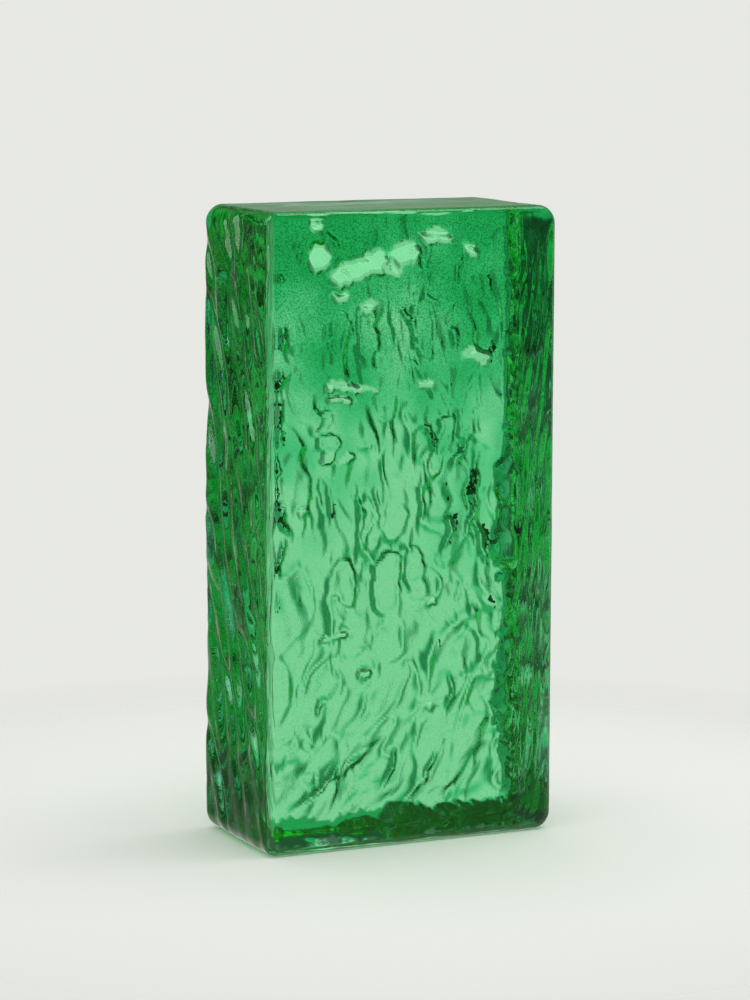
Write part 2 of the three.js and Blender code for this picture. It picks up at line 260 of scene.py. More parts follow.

# %% [markdown]
# ## Named folds
#
# Some folds are large enough to be known one by one, and these are listed. A slit is a
# narrow groove whose walls are so steep that no light from behind gets through. Each row says where
# the middle of a slit lies on the back, how it leans, and its length, width and depth.

# %% Slits drawn one by one
SLITS = [
    # x, z, lean, length, width, depth, bend
    (-32.6, 225.0, 100, 1.2, 1.1, 0.9, 0),
    (-29.5, 221.5, 60, 2.2, 1.1, 0.7, 0),
    (-16.0, 226.5, 120, 2.4, 1.1, 0.7, 0),
    (15.0, 197.0, 130, 5, 1.1, 0.9, 0.01),
    (24.0, 203.0, 155, 4.5, 1.1, 0.8, 0),
    (36.7, 213.0, 88, 4.5, 1.1, 0.9, 0),
    (35.4, 187.5, 75, 3.5, 1.1, 0.9, 0.03),
    (-37.0, 212.0, 92, 2.2, 1.3, 1.0, 0),
    (-37.2, 188.0, 85, 3.4, 1.6, 1.3, 0),
    (-38.2, 172.5, 95, 4, 1.1, 1.0, 0),
    (-38.0, 157.0, 88, 7, 1.2, 1.2, 0),
    (-39.2, 139.0, 84, 7, 1.1, 1.0, 0),
    (-36.6, 121.5, 100, 6, 1.2, 1.1, 0),
    (-38.8, 105.0, 88, 7, 1.2, 1.1, 0),
    (25.5, 149.5, 106, 6.5, 1.1, 1, 0),
    (33.0, 114.0, 78, 6.8, 1.1, 1, 0.01),
    (44.0, 128.0, 86, 11, 1.8, 1.8, 0),
    (47.0, 108.0, 108, 8, 1.5, 1.4, 0),
    (38.5, 143.0, 72, 6, 1.6, 1.4, 0),
    (41.5, 117.0, 70, 7, 1.3, 1.4, 0),
    (-5.0, 123.0, 92, 11, 1.1, 0.7, 0.004),
    (-20.6, 48.3, 82, 2.6, 1.1, 0.9, 0),
    (33.4, 49.0, 84, 5, 1.1, 1.1, 0.01),
    (21.4, 124.0, 84, 8, 1.6, 1.2, -0.003),
    (3.0, 125.5, 88, 4.5, 1.1, 0.7, 0),
    (-16.0, 21.0, 40, 6, 1.2, 1.3, 0),
    (-7.0, 25.0, 32, 5, 1.2, 1.3, 0),
    (8.0, 22.0, 62, 6.5, 1.4, 1.4, -0.01),
    (24.0, 21.0, 58, 6, 1.2, 1.1, -0.01),
    (-25.0, 14.0, 38, 6, 1.1, 1.1, 0),
]

print("slits:", len(SLITS))

# %% [markdown]
# A drawn shape has outlines too clean for poured glass. So the place is moved a little before the
# shape is looked up there. `wander` moves it by a few millimetres, which bends the outline. `fray`
# then moves it by about one more, which leaves the outline ragged.

# %% Bend and fray
def wander(x, z):
    aside = 2.8 * swell(x / 9, 0, z / 9, 51) + 1.1 * swell(x / 3.2, 0, z / 3.2, 52)
    upward = 2.8 * swell(x / 9, 0, z / 9, 53) + 1.1 * swell(x / 3.2, 0, z / 3.2, 54)
    return x + aside, z + upward


def fray(x, z):
    aside = 1.1 * swell(x / 2.2, 0, z / 2.2, 55) + 0.5 * swell(x / 1.0, 0, z / 1.0, 56)
    upward = 1.1 * swell(x / 2.2, 0, z / 2.2, 57) + 0.5 * swell(x / 1.0, 0, z / 1.0, 58)
    return x + aside, z + upward


straight_x = np.linspace(-50, 50, 200)
moved_x, moved_z = wander(straight_x, np.full(200, 120.0))
moved = np.hypot(moved_x - straight_x, moved_z - 120.0)
print("a place wanders by up to", round(float(moved.max()), 1), "mm")

# %% [markdown]
# A pod is a long oval where the glass bulges, with a thin groove all round it.

# %% Pods drawn one by one
PODS = [
    # x, z, lean, half length, half width, swelling, groove
    (-11.5, 95.0, 93, 8.5, 5.4, 0.35, 0.28),
    (6.5, 94.0, 88, 11.0, 5.8, 0.35, 0.28),
    (18.5, 99.0, 84, 8.0, 3.4, 0.3, 0.28),
    (-3.0, 118.0, 86, 9.0, 3.4, 0.3, 0.28),
    (9.5, 119.0, 92, 7.0, 4.6, 0.3, 0.28),
    (-18.3, 148.5, 20, 5.0, 3.4, 0.3, 0.45),
    (-14.0, 190.0, 86, 9.0, 3.6, 0.4, 0.45),
    (-2.0, 190.0, 94, 10.0, 4.0, 0.4, 0.45),
    (22.0, 192.0, 96, 11.0, 4.2, 0.5, 0.45),
    (30.0, 146.0, 70, 12.0, 3.4, 0.4, 0.45),
    (42.0, 160.0, 76, 12.0, 3.6, 0.4, 0.45),
]


def pods(x, z):
    height = np.zeros_like(x)
    cover = np.zeros_like(x)
    for at_x, at_z, lean, half_length, half_width, swelling, groove in PODS:
        cos, sin = math.cos(math.radians(lean)), math.sin(math.radians(lean))
        along = ((x - at_x) * cos + (z - at_z) * sin) / half_length
        across = ((z - at_z) * cos - (x - at_x) * sin) / half_width
        out = np.sqrt(along ** 2 + across ** 2 + 1e-9)
        height += swelling * np.clip(1.0 - out ** 2, 0.0, 1.0)
        height -= groove * np.exp(-((out - 1.0) * half_width / 0.7) ** 2)
        cover = np.maximum(cover, ease(1.25 - out, 0.0, 0.3))
    return height, cover


print("pods:", len(PODS))

# %% [markdown]
# ## Shelves
#
# Near the top the cooling glass slid down the mould and left small shelves, where the skin slopes
# inwards on its way down. A shelf bends the light that passes through it upwards, so to the camera
# it shows the bright strip behind the block and looks pale. Lower down the eye looks more steeply, so
# a shelf there has to be steeper for the same effect.

# %% Shelves drawn one by one
SHELVES = [
    # x, z, lean, half length, half height
    (-21.9, 219.8, 80, 3.9, 2.4),
    (-9.5, 213.8, 8, 6.0, 3.2),
    (0.0, 217.2, 20, 5.5, 3.6),
    (14.5, 220.3, 15, 4.2, 3.0),
    (8.5, 214.5, 0, 3.0, 1.8),
    (27.2, 226.7, -8, 4.8, 1.7),
    (42.3, 221.7, 0, 2.2, 1.9),
    (-23.0, 232.3, 0, 2.6, 1.1),
    (-12.7, 205.5, 0, 2.8, 1.3),
    (-1.0, 200.2, 0, 1.8, 1.3),
    (23.3, 170.4, 0, 2.6, 1.6),
    (43.2, 181.0, 30, 3.2, 1.5),
    (47.5, 179.5, 40, 3.0, 1.6),
    (-14.0, 170.3, -4, 4.2, 1.2),
    (-4.5, 169.5, -12, 5.2, 1.2),
    (-12.7, 165.9, -2, 4.5, 0.8),
    (-29.4, 124.3, 0, 2.4, 1.0),
    (25.8, 85.8, 0, 1.8, 1.1),
    (-14.3, 76.2, 0, 2.2, 1.3),
    (-19.7, 74.7, 0, 1.6, 1.0),
    (-3.2, 59.8, 0, 1.6, 1.1),
    (23.8, 45.4, 0, 2.4, 1.2),
    (-18.0, 143.5, 30, 2.4, 0.9),
    (-10.5, 143.0, 40, 2.4, 0.9),
]


def shelves(x, z, straight_x, straight_z):
    total = np.zeros_like(x)
    weight = np.zeros_like(x)
    for at_x, at_z, lean, half_length, half_height in SHELVES:
        cos, sin = math.cos(math.radians(lean)), math.sin(math.radians(lean))
        if lean > 60:
            cos, sin = 1.0, 0.0
            half_length, half_height = half_height, half_length
        along = ((x - at_x) * cos + (z - at_z) * sin) / half_length
        across = ((z - at_z) * cos - (x - at_x) * sin) / half_height
        down = (straight_z - at_z) * cos - (straight_x - at_x) * sin
        reach = np.hypot(np.abs(across) ** 1.5, np.abs(along) ** 1.5)
        share = ease(2.2 - reach, 0.0, 1.1)
        slope = math.tan(math.radians(mix(29.0, 17.0, min(max((at_z - 40) / 180, 0), 1))))
        total += share * slope * np.clip(down, -1.2 * half_height, 1.2 * half_height)
        weight += share
    return total / np.maximum(weight, 1.0), np.minimum(weight, 1.0)


print("shelves:", len(SHELVES))

# %% [markdown]
# ## Ragged edges
#
# The glass was too stiff to fill the sharp corners of the mould at the foot and down the right of
# the back. It stopped short there, in a ragged round. The outline is jagged, and the sloping glass
# behind it is smooth, so the jags fade out within a few millimetres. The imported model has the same
# edge with coarser jags, which don't fade.

# %% Ragged edges
FOOT_SHORE = [
    # x, height the glass stopped at
    (-60, 2.0), (-46, 3.0), (-40, 2.0), (-33, 0.5), (-20, 0.5), (-12, 1.5), (-3, 4.5), (3, 2.0), (8, 8.0),
    (16, 8.5), (24, 4.5), (27, 3.0), (31, 7.0), (39, 4.5), (47, 5.5), (60, 5.0),
]
SIDE_SHORE = [
    # height, distance from the side
    (0, 1), (20, 2.0), (30, 4), (36, 6.5), (42, 8.5), (50, 7), (60, 6), (68, 4.5), (84, 3.0), (96, 4.5),
    (101, 8.5), (106, 8.0), (112, 7.0), (123, 7.5), (134, 8.5), (139, 5.5), (150, 3.0), (170, 3.5),
    (180, 3.5), (186, 3.5), (192, 1), (206, 1), (212, 3.5), (240, 3.0),
]


DEEPEST_DROP = 8.0
FOOT_JAG_REACH = 3.0
SIDE_JAG_REACH = 3.5
SIDE_JAG_SCALE = 1.4


def ragged_edges(x, y, z):
    jag = 2.4 * swell(x / 5, y / 5, z / 5, 21) + 1.8 * swell(x / 2.4, y / 2.4, z / 2.4, 22)
    foot_drop = np.interp(x, *zip(*FOOT_SHORE)) - z
    foot_drop += jag * np.exp(-(np.maximum(foot_drop, 0) / FOOT_JAG_REACH) ** 2)
    side_drop = np.interp(z, *zip(*SIDE_SHORE)) - (WIDTH / 2 - x)
    fade = np.exp(-(np.maximum(side_drop, 0) / SIDE_JAG_REACH) ** 2)
    side_drop += SIDE_JAG_SCALE * jag * fade
    drop = np.clip(np.maximum(foot_drop, side_drop), 0.0, DEEPEST_DROP)
    return drop * ease(y, 2.0, DEPTH / 2 - BACK_EDGE_RADIUS)


sample = ragged_edges(np.linspace(-50, 50, 200), 30.0, 2.0)
print("missing at the foot of the back: up to", round(float(sample.max()), 1), "mm")

# %% [markdown]
# ## Sides and top
#
# The sides are much calmer than the back: long thin runs of glass, almost upright, with smooth
# skin between them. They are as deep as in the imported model. The top's waves are shallower here
# than there. The waves and lobes of the back are about a quarter deeper, so that they still read
# clearly through the whole depth of the glass.

# %% Side and top relief
def side_relief(x, y, z):
    waves = np.where(x < 0, press(left_waves, y, z), press(right_waves, y, z))
    swing = 0.35 * np.cos(2 * np.pi * (z - 26) / 88)
    side = np.sign(x)
    upright = y + side * z * math.tan(math.radians(90 - SIDE_WAVE_LEAN))
    bent_y = upright + 5.0 * swell(upright / 15, 3.4 * side, z / 22, 31)
    bent_y += 1.2 * swell(upright / 5, 3.4 * side, z / 9, 34)
    bent_z = z + 9.0 * swell(upright / 15, 3.4 * side, z / 22, 35)
    runs = 0.25 * lobes(swell(bent_y / 9, 3.4 * side, bent_z / 24, 32), 0.3)
    swells = 0.5 * swell(bent_y / 9, 3.4 * side, bent_z / 16, 33)
    return waves + swing + runs + swells


def top_relief(x, y, z):
    return 0.3 * press(top_waves, x, y) + 0.15 * swell(x / 16, y / 9, z / 9, 41)


BACK_DEEPENING = 1.25
WAVE_SHARE = 0.6
BACK_LEVEL = -1.2
SLIT_DEEPENING = 1.8


def back_relief(x, y, z):
    bent_x, bent_z = wander(x, z)
    shelf, on_shelf = shelves(*fray(bent_x, bent_z), x, z)
    pod, on_pod = pods(bent_x, bent_z)
    plain = (1 - 0.92 * on_shelf) * (1 - 0.7 * on_pod)
    folds = WAVE_SHARE * press(back_waves, x, z) + back_wrinkles(x, y, z)
    height = BACK_DEEPENING * folds * plain + BACK_LEVEL
    height += SLIT_DEEPENING * press(SLITS, bent_x, bent_z) + pod + shelf
    return height


def chill(point, normal):
    x, y, z = point.T
    fade = ease(y, -DEPTH / 2, -DEPTH / 2 + CALM_DEPTH)
    height = np.maximum(normal[:, 1], 0) ** 2 * back_relief(x, y, z)
    height += normal[:, 0] ** 2 * side_relief(x, y, z)
    height += np.maximum(normal[:, 2], 0) ** 2 * top_relief(x, y, z)
    chilled = point + normal * (fade * height)[:, None]
    chilled[:, 1] -= ragged_edges(x, y, z)
    return chilled


back_point = chill(np.array([[0.0, DEPTH / 2, HEIGHT / 2]]), np.array([[0.0, 1.0, 0.0]]))[0]
print("middle of the back moved from y =", DEPTH / 2, "to", round(float(back_point[1]), 2), "mm")

# %% [markdown]
# ## The skin
#
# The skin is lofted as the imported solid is. A wall profile starts at the polished face, rolls over
# its rounded edge, runs straight back and rolls over the back edge. It is carried round the
# outline of the block, and two sheets close the ends: a flat one in front and the rippled back.

# %% Places along the outline
STEP_ACROSS = 0.8
STEP_UP = 0.95
STEP_DEEP = 0.9
CORNER_STEPS = 5
EDGE_STEPS = 5
QUARTER = math.pi / 2


def stations(low, high, step):
    bends = [CORNER_RADIUS * (1 - math.tan(k * QUARTER / 2 / CORNER_STEPS))
             for k in range(CORNER_STEPS, 0, -1)]
    count = round((high - low - 2 * CORNER_RADIUS) / step)
    middle = np.linspace(low + CORNER_RADIUS, high - CORNER_RADIUS, count + 1)
    return np.concatenate([low + np.array(bends), middle, high - np.array(bends[::-1])])


across = stations(-WIDTH / 2, WIDTH / 2, STEP_ACROSS)
up = stations(0.0, HEIGHT, STEP_UP)
outline = np.array(
    [(x, up[0]) for x in across[:-1]] + [(across[-1], z) for z in up[:-1]]
    + [(x, up[-1]) for x in across[:0:-1]] + [(across[0], z) for z in up[:0:-1]])
print("outline:", len(outline), "places")


# %% Rounded corners
def into_outline(x, z, y, inset):
    left = mix(LEFT_FRONT_CORNER_RADIUS, CORNER_RADIUS, (y + DEPTH / 2) / DEPTH)
    radius = np.where(x < 0, left, CORNER_RADIUS)
    core_x = np.clip(x, radius - WIDTH / 2, WIDTH / 2 - radius)
    core_z = np.clip(z, radius, HEIGHT - radius)
    out_x, out_z = x - core_x, z - core_z
    square = np.maximum(np.abs(out_x), np.abs(out_z))
    length = np.maximum(np.hypot(out_x, out_z), 1e-9)
    out_x, out_z = out_x / length, out_z / length
    distance = square * (radius - inset) / radius
    return core_x + out_x * distance, core_z + out_z * distance, out_x, out_z


def wall_profile():
    start, end = -DEPTH / 2 + POLISHED_EDGE_RADIUS, DEPTH / 2 - BACK_EDGE_RADIUS
    rows = []
    for tilt in np.linspace(-QUARTER, 0, EDGE_STEPS + 1):
        inset = POLISHED_EDGE_RADIUS * (1 - math.cos(tilt))
        rows.append((inset, start + POLISHED_EDGE_RADIUS * math.sin(tilt), tilt))
    for y in np.linspace(start, end, round((end - start) / STEP_DEEP) + 1)[1:-1]:
        rows.append((0.0, y, 0.0))
    for tilt in np.linspace(0, QUARTER, EDGE_STEPS + 1):
        inset = BACK_EDGE_RADIUS * (1 - math.cos(tilt))
        rows.append((inset, end + BACK_EDGE_RADIUS * math.sin(tilt), tilt))
    return rows


print("wall profile:", len(wall_profile()), "rows")


# %% Walls, front and back
def wall_ring(inset, y, tilt):
    x, z, out_x, out_z = into_outline(outline[:, 0], outline[:, 1], y, inset)
    point = np.stack([x, np.full(len(x), y), z], axis=1)
    normal = np.stack([out_x * math.cos(tilt), np.full(len(x), math.sin(tilt)),
                       out_z * math.cos(tilt)], axis=1)
    return chill(point, normal)


profile = wall_profile()
ring = len(outline)
rings = [wall_ring(*row) for row in profile]
first = np.arange(ring)
after = np.roll(first, -1)
faces = []
for level in range(len(profile) - 1):
    low, high = level * ring, (level + 1) * ring
    faces.append(np.stack([low + first, high + first, high + after, low + after], axis=1))

x, z, _, _ = into_outline(outline[:, 0], outline[:, 1], -DEPTH / 2, POLISHED_EDGE_RADIUS + 0.6)
rim = np.stack([x, np.full(ring, -DEPTH / 2), z], axis=1)
rim_start = len(profile) * ring
faces.append(np.stack([rim_start + first, first, after, rim_start + after], axis=1))

grid_x, grid_z = (side.ravel() for side in np.meshgrid(across, up))
x, z, _, _ = into_outline(grid_x, grid_z, DEPTH / 2, BACK_EDGE_RADIUS)
sheet = np.stack([x, np.full(len(x), DEPTH / 2), z], axis=1)
sheet = chill(sheet, np.tile([0.0, 1.0, 0.0], (len(sheet), 1)))
sheet_start = rim_start + ring
number = sheet_start + np.arange(len(sheet)).reshape(len(up), len(across))
faces.append(np.stack([number[:-1, 1:].ravel(), number[:-1, :-1].ravel(),
                       number[1:, :-1].ravel(), number[1:, 1:].ravel()], axis=1))
print("rings:", len(rings), "of", ring, "points; back sheet:", len(sheet), "points")

# %% Join the skin
points = np.concatenate(rings + [rim, sheet])
middle = (points.max(axis=0) + points.min(axis=0)) / 2
points -= (middle[0], middle[1], points[:, 2].min())
skin = bpy.data.meshes.new("glass_block_skin")
polished_face = list(range(rim_start, rim_start + ring))
skin.from_pydata((points / 1000).tolist(), [], np.concatenate(faces).tolist() + [polished_face])
worker = bmesh.new()
worker.from_mesh(skin)
bmesh.ops.remove_doubles(worker, verts=worker.verts, dist=1e-6)
worker.to_mesh(skin)
worker.free()
skin.shade_smooth()
block = bpy.data.objects.new("glass_block_skin", skin)
bpy.context.collection.objects.link(block)
print("skin:", len(skin.vertices), "points,", len(skin.polygons), "faces")

# %% [markdown]
# ## Green glass
#
# Clear coloured glass has no colour on its surface. Light takes the colour on inside, and the
# longer the way, the deeper the green. So the surface is clear, and a volume that soaks up red and
# blue fills it. Most of the green is in the glass; some is painted shade in the colour of its skin.

# %% Node helpers
def add_node(tree, kind, **settings):
    node = tree.nodes.new("ShaderNode" + kind)
    for name, value in settings.items():
        setattr(node, name, value)
    return node


def feed(socket, source):
    if isinstance(source, bpy.types.NodeSocket):
        socket.id_data.links.new(source, socket)
    else:
        socket.default_value = source


def calculate(tree, operation, *values, clamp=False):
    node = add_node(tree, "Math", operation=operation, use_clamp=clamp)
    for socket, value in zip(node.inputs, values):
        feed(socket, value)
    return node.outputs["Value"]


# %% Glass
GLASS_COLOUR = (0.12, 0.888, 0.42, 1)
GLASS_DENSITY = 25.0
GLASS_IOR = 1.52
glass = bpy.data.materials.new("green_glass")
glass.use_nodes = True
glass_tree = glass.node_tree
glass_tree.nodes.clear()
glass_output = add_node(glass_tree, "OutputMaterial")
surface = add_node(glass_tree, "BsdfPrincipled")
feed(surface.inputs["Transmission Weight"], 1.0)
feed(surface.inputs["IOR"], GLASS_IOR)
feed(glass_output.inputs["Surface"], surface.outputs["BSDF"])
tint = add_node(glass_tree, "VolumeAbsorption")
feed(tint.inputs["Color"], GLASS_COLOUR)
feed(tint.inputs["Density"], GLASS_DENSITY)
feed(glass_output.inputs["Volume"], tint.outputs["Volume"])
skin.materials.append(glass)
print("glass: IOR", round(surface.inputs["IOR"].default_value, 3))

# %% [markdown]
# ## The chilled skin
#
# The skin of the back has a grain of very fine wrinkles, less than a millimetre apart. They are too
# fine for the mesh, so they are a bump in the material, with painted shade in their hollows. A mask
# stored on the points says how much of it each place has: none on the polished face, least on the
# smooth shelves.

# %% Masks on the skin
place = np.zeros(len(skin.vertices) * 3)
skin.vertices.foreach_get("co", place)
place = place.reshape(-1, 3) * 1000
facing_way = np.zeros(len(skin.vertices) * 3)
skin.vertices.foreach_get("normal", facing_way)
facing_way = facing_way.reshape(-1, 3)
skin_x, skin_y, skin_z = place.T
bent_x, bent_z = wander(skin_x, skin_z)
on_back = ease(skin_y, 20, 28)
on_shelf = shelves(*fray(bent_x, bent_z), skin_x, skin_z)[1] * on_back


def mask(name, values):
    layer = skin.attributes.new(name, "FLOAT", "POINT")
    layer.data.foreach_set("value", values.astype(np.float32))
    print("mask", name, "from", round(float(values.min()), 2), "to", round(float(values.max()), 2))
    return add_node(glass_tree, "Attribute", attribute_name=name).outputs["Fac"]


# %% Grain
GRAIN_SCALE = 1600.0
GRAIN_HEIGHT = 0.00006
where = add_node(glass_tree, "TexCoord").outputs["Object"]
wrinkle = add_node(glass_tree, "TexNoise")
feed(wrinkle.inputs["Vector"], where)
feed(wrinkle.inputs["Scale"], GRAIN_SCALE)
feed(wrinkle.inputs["Detail"], 0.5)
feed(wrinkle.inputs["Distortion"], 0.4)
grain = mask("grain", on_back * mix(1.7, 1.0, ease(skin_z, 90, 200)) * (1 - 0.7 * on_shelf))
bump = add_node(glass_tree, "Bump")
feed(bump.inputs["Distance"], GRAIN_HEIGHT)
feed(bump.inputs["Height"], wrinkle.outputs["Fac"])
feed(bump.inputs["Strength"], grain)
feed(surface.inputs["Normal"], bump.outputs["Normal"])

# %% [markdown]
# The top of the block is dull rather than grainy. A little roughness on the parts that face up is
# enough.

# %% Dull top
TOP_ROUGHNESS = 0.3
facing_up = np.clip(facing_way[:, 2], 0, 1) ** 8
feed(surface.inputs["Roughness"], mask("dull", facing_up * TOP_ROUGHNESS))

# %% [markdown]
# Clear glass alone leaves some parts of the block too pale. So the skin is given painted shade: a
# darker green laid into its colour, which is a painter's choice and not a measured thing. It is thick
# on the upper back, in the creases, along the ragged edges, at the foot and on the sides, where the
# block looks darker because of how the light falls through it. Like the glass, it takes out more
# colour the thicker it is: each further layer leaves the same share of the light. So its colour is
# the colour of one full layer, raised to the power of its thickness.

# %% Painted shade in the skin
# Colour of one full layer of painted shade.
FULL_SHADE_LAYER = (0.01, 0.42, 0.14)
# Colour of the painted shade in the hollows of the grain.
DIP_SHADE = (0.12, 0.40, 0.22, 1)


def shaded(share, colour, beneath):
    node = add_node(glass_tree, "Mix", data_type="RGBA", blend_type="MULTIPLY")
    feed(node.inputs["Factor"], share)
    feed(node.inputs["A"], beneath)
    feed(node.inputs["B"], colour)
    return node.outputs["Result"]


def between(value, low, high):
    node = add_node(glass_tree, "MapRange")
    feed(node.inputs["Value"], value)
    feed(node.inputs["From Min"], low)
    feed(node.inputs["From Max"], high)
    return node.outputs["Result"]


# How thick the painted shade lies: thick on the upper back, in the creases, along the ragged edges, at
# the foot and on the sides.
clouds = 0.9 * swell(skin_x / 26, skin_y / 26, skin_z / 30, 61)
clouds += 0.35 * swell(skin_x / 9, skin_y / 9, skin_z / 10, 62)
upper_back = 0.85 * ease(skin_z, 110, 215) + 0.35 * ease(skin_z, 200, 234)
upper_back = np.clip(upper_back + clouds * ease(skin_z, 70, 160), 0, 1.3)
steepness = np.degrees(np.arccos(np.clip(facing_way[:, 1], -1, 1)))
creases = ease(steepness, 9, 28)
ragged = 1.3 * ease(ragged_edges(skin_x, 30.0, skin_z), 0.0, 1.2)
foot_line = 5.5 + 2.5 * swell(skin_x / 9, 0, 0.5, 63) + 2.5 * swell(skin_x / 3, 0, skin_z / 3, 64)
foot = 1.5 * ease(foot_line - skin_z, 0.0, 1.0)
sides = 0.8 * facing_way[:, 0] ** 2 * ease(skin_y, -24, -6)
thickness = np.maximum(on_back * np.max([upper_back, creases, ragged, foot], axis=0), sides)
thickness *= 1 - on_shelf
shade_film = np.ones((len(place), 4))
shade_film[:, :3] = np.array(FULL_SHADE_LAYER) ** thickness[:, None]
layer = skin.attributes.new("shade_film", "FLOAT_COLOR", "POINT")
layer.data.foreach_set("color", shade_film.ravel().astype(np.float32))
shade_film_colour = add_node(glass_tree, "Attribute", attribute_name="shade_film").outputs["Color"]
print("skin thickness, mean on the back:", round(float(thickness[on_back > 0.5].mean()), 3))

# Painted shade in the hollows of the grain: strongest towards the top, weakest on the shelves.
dip_shade = mask("dip_shade", on_back * mix(0.2, 1.0, ease(skin_z, 140, 205)) * (1 - 0.8 * on_shelf))
dip_shade_share = calculate(glass_tree, "MULTIPLY", between(wrinkle.outputs["Fac"], 0.44, 0.60), dip_shade)
shaded_skin_colour = shaded(dip_shade_share, DIP_SHADE, shade_film_colour)

# %% [markdown]
# ## Painted shade of cracks in the skin
#
# Near the left edge and the ragged right edge the skin tore as it shrank. A torn wall is rough and
# steep, and it lets no light through, so it shows as a small black flaw with a jagged outline. The
# mesh has no such walls, so the black is painted shade in the colour of the skin.
# Each row is one flaw, drawn one by one.

# %% Cracks drawn one by one
CRACKS = [
    # x, z, lean, half length, half width
    (-38.4, 172.5, 95, 5.0, 1.0),
    (-38.0, 158.5, 88, 6.0, 1.5),
    (-36.6, 152.0, 82, 4.0, 0.8),
    (-39.6, 139.5, 86, 9.0, 0.6),
    (-38.4, 131.0, 90, 4.0, 0.8),
    (-36.6, 122.0, 104, 5.5, 1.2),
    (-38.8, 105.5, 88, 8.0, 0.9),
    (-38.5, 187.5, 85, 4.0, 0.7),
    (-37.6, 213.0, 92, 2.0, 0.6),
    (43.5, 131.0, 84, 10.0, 1.9),
    (40.5, 144.0, 72, 6.0, 0.8),
    (49.0, 109.0, 104, 8.0, 1.8),
    (35.0, 114.0, 76, 7.0, 0.8),
    (25.5, 150.0, 106, 7.0, 0.9),
    (31.5, 128.0, 82, 6.0, 0.6),
    (50.5, 206.0, 98, 5.0, 1.0),
    (51.5, 182.0, 92, 5.0, 1.0),
    (34.0, 196.0, 76, 6.0, 0.8),
    (14.0, 199.0, 128, 6.0, 0.6),
    (-15.5, 123.0, 90, 3.5, 0.5),
    (28.0, 67.0, 84, 4.0, 0.6),
    (52.0, 84.0, 100, 6.0, 1.0),
    (-21.0, 230.0, 130, 3.0, 0.5),
    (-40.0, 86.0, 40, 3.0, 0.6),
]
print("cracks:", len(CRACKS))

# %% Painted shade of the torn skin
# Near-black painted shade where the torn walls would let no light through.
CRACK_SHADE_COLOUR = (0.0, 0.002, 0.0, 1)
JAG_SCALE = 560.0
SHADE_FROM, SHADE_FULLY = 1.42, 1.50
crack_shade = np.zeros(len(place))
for at_x, at_z, lean, half_length, half_width in CRACKS:
    cos, sin = math.cos(math.radians(lean)), math.sin(math.radians(lean))
    along = ((bent_x - at_x) * cos + (bent_z - at_z) * sin) / half_length
    aside = ((bent_z - at_z) * cos - (bent_x - at_x) * sin) / half_width
    crack_shade = np.maximum(crack_shade, 1 - 0.5 * np.hypot(along, aside))
jags = add_node(glass_tree, "TexNoise")
feed(jags.inputs["Vector"], where)
feed(jags.inputs["Scale"], JAG_SCALE)
feed(jags.inputs["Detail"], 3.0)
jagged = calculate(
    glass_tree, "MULTIPLY_ADD", jags.outputs["Fac"], 1.6, mask("crack_shade", crack_shade * ease(skin_y, 18, 22)))
# The painted crack shade goes over the painted shade of the skin.
feed(surface.inputs["Base Color"],
     shaded(between(jagged, SHADE_FROM, SHADE_FULLY), CRACK_SHADE_COLOUR, shaded_skin_colour))
print("points in torn skin:", int((crack_shade > 0.5).sum()))

# %% [markdown]
# ## The floor
#
# The block stands on pale paper. The paper is a disc that fades out towards its rim, so that there
# is no line where it meets the pale room. Light that went through the glass or glanced off it
# doesn't see the disc but the room, whose lower half stands in for the paper.

# %% Floor
PALE = (0.80, 0.81, 0.77, 1)
FLOOR_RADIUS = 0.34
FADE_START = 0.12
bpy.ops.mesh.primitive_circle_add(
    vertices=128, radius=FLOOR_RADIUS, fill_type="NGON", location=(0, 0, -0.0001))
floor = bpy.context.object
floor.name = "floor"
paper = bpy.data.materials.new("paper")
paper.use_nodes = True
paper_tree = paper.node_tree
paper_tree.nodes.clear()
paper_output = add_node(paper_tree, "OutputMaterial")
sheet_colour = add_node(paper_tree, "BsdfDiffuse")
feed(sheet_colour.inputs["Color"], PALE)
clear = add_node(paper_tree, "BsdfTransparent")
spot = add_node(paper_tree, "VectorMath", operation="LENGTH")
feed(spot.inputs[0], add_node(paper_tree, "TexCoord").outputs["Object"])
fade = add_node(paper_tree, "MapRange", interpolation_type="SMOOTHSTEP")
feed(fade.inputs["Value"], spot.outputs["Value"])
feed(fade.inputs["From Min"], FADE_START)
feed(fade.inputs["From Max"], FLOOR_RADIUS * 0.98)
ray = add_node(paper_tree, "LightPath").outputs
by_glass = calculate(paper_tree, "MAXIMUM", ray["Is Transmission Ray"], ray["Is Glossy Ray"])
see_through = calculate(paper_tree, "MAXIMUM", by_glass, fade.outputs["Result"])
faded = add_node(paper_tree, "MixShader")
feed(faded.inputs["Fac"], see_through)
feed(faded.inputs[1], sheet_colour.outputs["BSDF"])
feed(faded.inputs[2], clear.outputs["BSDF"])
feed(paper_output.inputs["Surface"], faded.outputs["Shader"])
floor.data.materials.append(paper)
print("floor radius:", FLOOR_RADIUS, "m")

# %% [markdown]
# ## The room
#
# Glass has no look of its own: it shows the room. The room has one plain colour, the backdrop's.
# Only its brightness changes, as a share of the backdrop's: 1 is the backdrop itself, which the
# camera and the glass see alike.
#
# The room is pale round about half of its wall, so that the block looks like bright glass from many
# sides. Dim screens stand to the left and right of the backdrop, like black card round a glass on
# a table. A steep fold bends the light onto a screen, and so draws itself as a dark line. A third
# screen stands where the polished face would mirror it, which keeps that face clear.

